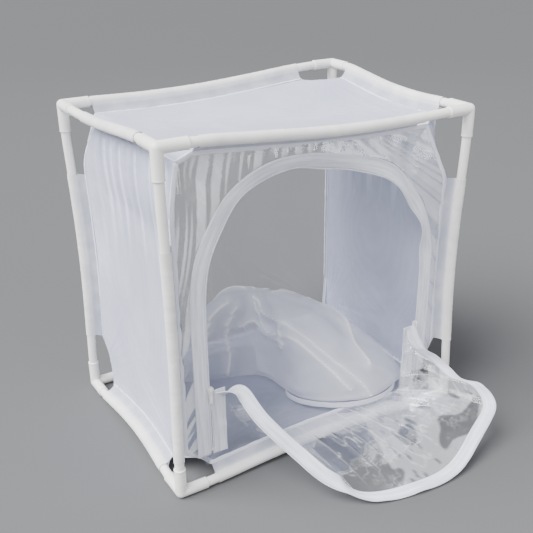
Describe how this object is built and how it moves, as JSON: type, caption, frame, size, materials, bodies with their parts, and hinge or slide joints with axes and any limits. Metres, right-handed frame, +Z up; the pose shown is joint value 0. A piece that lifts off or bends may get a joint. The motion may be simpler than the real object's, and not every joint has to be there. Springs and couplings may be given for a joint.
{
  "type": "butterfly enclosure",
  "caption": "Free-standing insect enclosure: pipe frame in push-fit corner fittings, net and clear film cover, arched zip door and net access sleeve.",
  "frame": {"origin": "middle of the part's footprint, with the open door flap, on the surface that it stands on", "axes": "+Z up, +X to the right seen from the door, +Y from the door to the back"},
  "size_m": [0.6, 0.633, 0.609],
  "materials": {
    "fitting": "white moulded plastic, slightly glossy",
    "pipe": "white extruded pipe, satin",
    "sleeve_cloth": "white woven sleeve cloth",
    "net": "fine white net",
    "film": "clear soft film, glossy and creased",
    "zip_tape": "white woven zip tape",
    "zip_plastic": "white moulded zip parts"
  },
  "bodies": {
    "root": {"corner_fitting_bottom_front_left": "fitting", "corner_fitting_bottom_front_right": "fitting", "corner_fitting_bottom_back_left": "fitting", "corner_fitting_bottom_back_right": "fitting", "corner_fitting_top_front_left": "fitting", "corner_fitting_top_front_right": "fitting", "corner_fitting_top_back_left": "fitting", "corner_fitting_top_back_right": "fitting", "pipe_top_front": "pipe", "pipe_top_back": "pipe", "pipe_top_left": "pipe", "pipe_top_right": "pipe", "pipe_bottom_front": "pipe", "pipe_bottom_back": "pipe", "pipe_bottom_left": "pipe", "pipe_bottom_right": "pipe", "post_front_left": "pipe", "post_front_right": "pipe", "post_back_left": "pipe", "post_back_right": "pipe", "sleeve_top_front": "sleeve_cloth", "sleeve_top_back": "sleeve_cloth", "sleeve_top_left": "sleeve_cloth", "sleeve_top_right": "sleeve_cloth", "sleeve_bottom_front": "sleeve_cloth", "sleeve_bottom_back": "sleeve_cloth", "sleeve_bottom_left": "sleeve_cloth", "sleeve_bottom_right": "sleeve_cloth", "sleeve_front_left": "sleeve_cloth", "sleeve_front_right": "sleeve_cloth", "sleeve_back_left": "sleeve_cloth", "sleeve_back_right": "sleeve_cloth", "bottom_net_panel": "net", "top_net_panel": "net", "left_net_panel": "net", "right_net_panel": "net", "access_sleeve": "net", "back_film_panel": "film", "front_film_surround": "film", "door_film_foot": "film", "door_zip_tape": "zip_tape", "zipped_tape_left": "zip_tape", "zipped_tape_right": "zip_tape", "sleeve_seam_band": "zip_tape", "door_zip_coil": "zip_plastic", "zip_stop_left": "zip_plastic", "zip_stop_right": "zip_plastic"},
    "door_flap": {"door_flap_film": "film", "flap_zip_tape": "zip_tape", "flap_zip_coil": "zip_plastic"},
    "zip_slider_left": {"zip_slider_left": "zip_plastic"},
    "zip_slider_right": {"zip_slider_right": "zip_plastic"},
    "zip_pull_left": {"zip_pull_left": "zip_plastic"},
    "zip_pull_right": {"zip_pull_right": "zip_plastic"}
  },
  "joints": [
    {"name": "door_flap_fold", "type": "hinge", "parent": "root", "child": "door_flap", "pos_m": [0, -0.08851, 0.184], "axis": [-1, 0, 0], "range_deg": [0, 105]},
    {"name": "zip_slide_left", "type": "slide", "parent": "root", "child": "zip_slider_left", "axis": [0, 0, 1], "range_m": [-0.105, 0.13]},
    {"name": "zip_slide_right", "type": "slide", "parent": "root", "child": "zip_slider_right", "axis": [0, 0, 1], "range_m": [-0.087, 0.13]},
    {"name": "zip_pull_swing_left", "type": "hinge", "parent": "zip_slider_left", "child": "zip_pull_left", "pos_m": [-0.2189, -0.08901, 0.1755], "axis": [-1, 0, 0], "range_deg": [0, 170]},
    {"name": "zip_pull_swing_right", "type": "hinge", "parent": "zip_slider_right", "child": "zip_pull_right", "pos_m": [0.2189, -0.08901, 0.1755], "axis": [-1, 0, 0], "range_deg": [0, 170]}
  ]
}
